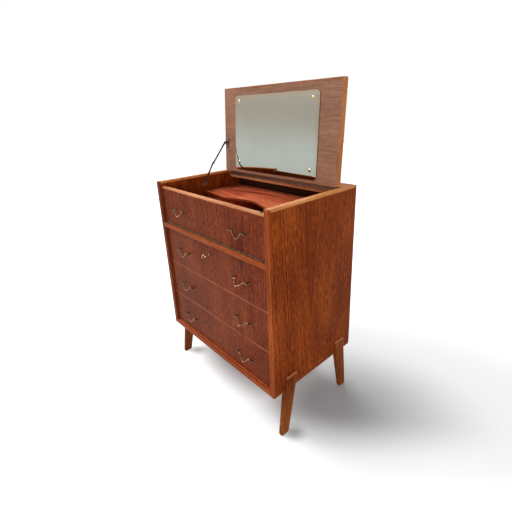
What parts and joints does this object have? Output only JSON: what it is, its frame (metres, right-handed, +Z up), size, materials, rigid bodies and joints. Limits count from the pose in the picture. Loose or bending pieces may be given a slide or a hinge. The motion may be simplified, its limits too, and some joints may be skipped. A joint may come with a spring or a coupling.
{
  "type": "dressing chest",
  "caption": "Teak dressing chest with drawers, drop bail pulls, splayed tapered legs, a fall front and a hinged lid with a mirror inside over a shelved well.",
  "frame": {"origin": "centre of the whole piece's box, on the floor", "axes": "+Z up, -Y out of the drawers' fronts, +X to the right seen from the front"},
  "size_m": [0.72, 0.4725, 1.2586],
  "materials": {
    "side_veneer": "oiled teak veneer",
    "lipping": "oiled solid teak",
    "front_veneer": "oiled teak veneer",
    "case_veneer": "oiled teak veneer",
    "back_board": "matt plywood",
    "pale_wood": "bare beech",
    "leg_teak": "oiled solid teak",
    "brass": "worn brass",
    "pull_brass": "antique brass, darkened",
    "mirror_silver": "silvered glass with a bevelled edge",
    "lock_steel": "plain steel",
    "bumper_felt": "soft matt"
  },
  "bodies": {
    "case": {"side_panel_left": "side_veneer", "side_panel_right": "side_veneer", "side_lippings": "lipping", "case_bottom": "case_veneer", "well_floor": "case_veneer", "case_front_lippings": "lipping", "back_panel": "back_board", "rear_top_board": "side_veneer", "hinge_rail": "lipping", "vanity_shelf": "case_veneer", "shelf_lipping": "lipping", "shelf_box": "case_veneer", "well_battens": "pale_wood", "drawer_runners": "pale_wood", "leg_front_left": "leg_teak", "leg_front_right": "leg_teak", "leg_rear_left": "leg_teak", "leg_rear_right": "leg_teak", "hinge_case_leaf": "brass", "hinge_pins": "brass", "fall_hinge_case_leaf": "brass", "stay_side_plate": "brass", "stay_plate_screws": "brass"},
    "fall_front": {"top_front_panel": "front_veneer", "top_pull_posts": "pull_brass", "fall_hinge_front_leaf": "brass", "lid_bumpers": "bumper_felt"},
    "lid": {"lid_board": "case_veneer", "lid_lippings": "lipping", "mirror_glass": "mirror_silver", "mirror_screws": "brass", "hinge_lid_leaf": "brass", "stay_lid_bracket": "brass", "stay_bracket_screws": "brass"},
    "stay_lower_arm": {"stay_lower_arm": "brass"},
    "stay_upper_arm": {"stay_upper_arm": "brass"},
    "drawer_lower": {"drawer_lower_front": "front_veneer", "drawer_lower_sides": "pale_wood", "drawer_lower_bottom": "pale_wood", "drawer_lower_pull_posts": "pull_brass"},
    "drawer_middle": {"drawer_middle_front": "front_veneer", "drawer_middle_sides": "pale_wood", "drawer_middle_bottom": "pale_wood", "drawer_middle_pull_posts": "pull_brass"},
    "drawer_upper": {"drawer_upper_front": "front_veneer", "drawer_upper_sides": "pale_wood", "drawer_upper_bottom": "pale_wood", "drawer_upper_pull_posts": "pull_brass", "lock_case": "lock_steel", "escutcheon": "brass"},
    "bail_top_left": {"bail_top_left": "pull_brass"},
    "bail_top_right": {"bail_top_right": "pull_brass"},
    "bail_upper_left": {"bail_upper_left": "pull_brass"},
    "bail_upper_right": {"bail_upper_right": "pull_brass"},
    "bail_middle_left": {"bail_middle_left": "pull_brass"},
    "bail_middle_right": {"bail_middle_right": "pull_brass"},
    "bail_lower_left": {"bail_lower_left": "pull_brass"},
    "bail_lower_right": {"bail_lower_right": "pull_brass"},
    "lock_bolt": {"lock_bolt": "lock_steel"},
    "key": {"key": "brass"}
  },
  "joints": [
    {"name": "lid_hinge", "type": "hinge", "parent": "case", "child": "lid", "pos_m": [0, 0.1643, 0.891], "axis": [1, 0, 0], "range_deg": [0, 93.8]},
    {"name": "stay_lower_pivot", "type": "hinge", "parent": "case", "child": "stay_lower_arm", "pos_m": [-0.327, 0.0158, 0.855], "axis": [1, 0, 0], "range_deg": [0, 127.8]},
    {"name": "stay_upper_pivot", "type": "hinge", "parent": "lid", "child": "stay_upper_arm", "pos_m": [-0.3235, 0.14298, 1.0227], "axis": [1, 0, 0], "range_deg": [-136.75, 0]},
    {"name": "fall_front_hinge", "type": "hinge", "parent": "case", "child": "fall_front", "pos_m": [0, -0.205, 0.7134], "axis": [1, 0, 0], "range_deg": [0, 90]},
    {"name": "drawer_lower_slide", "type": "slide", "parent": "case", "child": "drawer_lower", "axis": [0, -1, 0], "range_m": [0, 0.3]},
    {"name": "drawer_middle_slide", "type": "slide", "parent": "case", "child": "drawer_middle", "axis": [0, -1, 0], "range_m": [0, 0.3]},
    {"name": "drawer_upper_slide", "type": "slide", "parent": "case", "child": "drawer_upper", "axis": [0, -1, 0], "range_m": [0, 0.3]},
    {"name": "bail_top_left_pivot", "type": "hinge", "parent": "fall_front", "child": "bail_top_left", "pos_m": [-0.19, -0.2157, 0.78625], "axis": [-1, 0, 0], "range_deg": [-35, 105]},
    {"name": "bail_top_right_pivot", "type": "hinge", "parent": "fall_front", "child": "bail_top_right", "pos_m": [0.19, -0.2157, 0.78625], "axis": [-1, 0, 0], "range_deg": [-23, 117]},
    {"name": "bail_upper_left_pivot", "type": "hinge", "parent": "drawer_upper", "child": "bail_upper_left", "pos_m": [-0.19, -0.2157, 0.60783], "axis": [-1, 0, 0], "range_deg": [-28, 112]},
    {"name": "bail_upper_right_pivot", "type": "hinge", "parent": "drawer_upper", "child": "bail_upper_right", "pos_m": [0.19, -0.2157, 0.60783], "axis": [-1, 0, 0], "range_deg": [-70, 70]},
    {"name": "bail_middle_left_pivot", "type": "hinge", "parent": "drawer_middle", "child": "bail_middle_left", "pos_m": [-0.19, -0.2157, 0.4485], "axis": [-1, 0, 0], "range_deg": [-35, 105]},
    {"name": "bail_middle_right_pivot", "type": "hinge", "parent": "drawer_middle", "child": "bail_middle_right", "pos_m": [0.19, -0.2157, 0.4485], "axis": [-1, 0, 0], "range_deg": [-55, 85]},
    {"name": "bail_lower_left_pivot", "type": "hinge", "parent": "drawer_lower", "child": "bail_lower_left", "pos_m": [-0.19, -0.2157, 0.28917], "axis": [-1, 0, 0], "range_deg": [-25, 115]},
    {"name": "bail_lower_right_pivot", "type": "hinge", "parent": "drawer_lower", "child": "bail_lower_right", "pos_m": [0.19, -0.2157, 0.28917], "axis": [-1, 0, 0], "range_deg": [-35, 105]},
    {"name": "key_turn", "type": "hinge", "parent": "drawer_upper", "child": "key", "pos_m": [-0.002, -0.2027, 0.6466], "axis": [0, 1, 0], "range_deg": [0, 90.1]},
    {"name": "bolt_slide", "type": "slide", "parent": "drawer_upper", "child": "lock_bolt", "axis": [0, 0, 1], "range_m": [0, 0.009]}
  ],
  "couplings": [
    {"joint": "stay_lower_pivot", "follows": "lid_hinge", "ratio": 1.3619},
    {"joint": "stay_upper_pivot", "follows": "lid_hinge", "ratio": -1.4573},
    {"joint": "key_turn", "follows": "bolt_slide", "rad_per_m": 174.53}
  ]
}
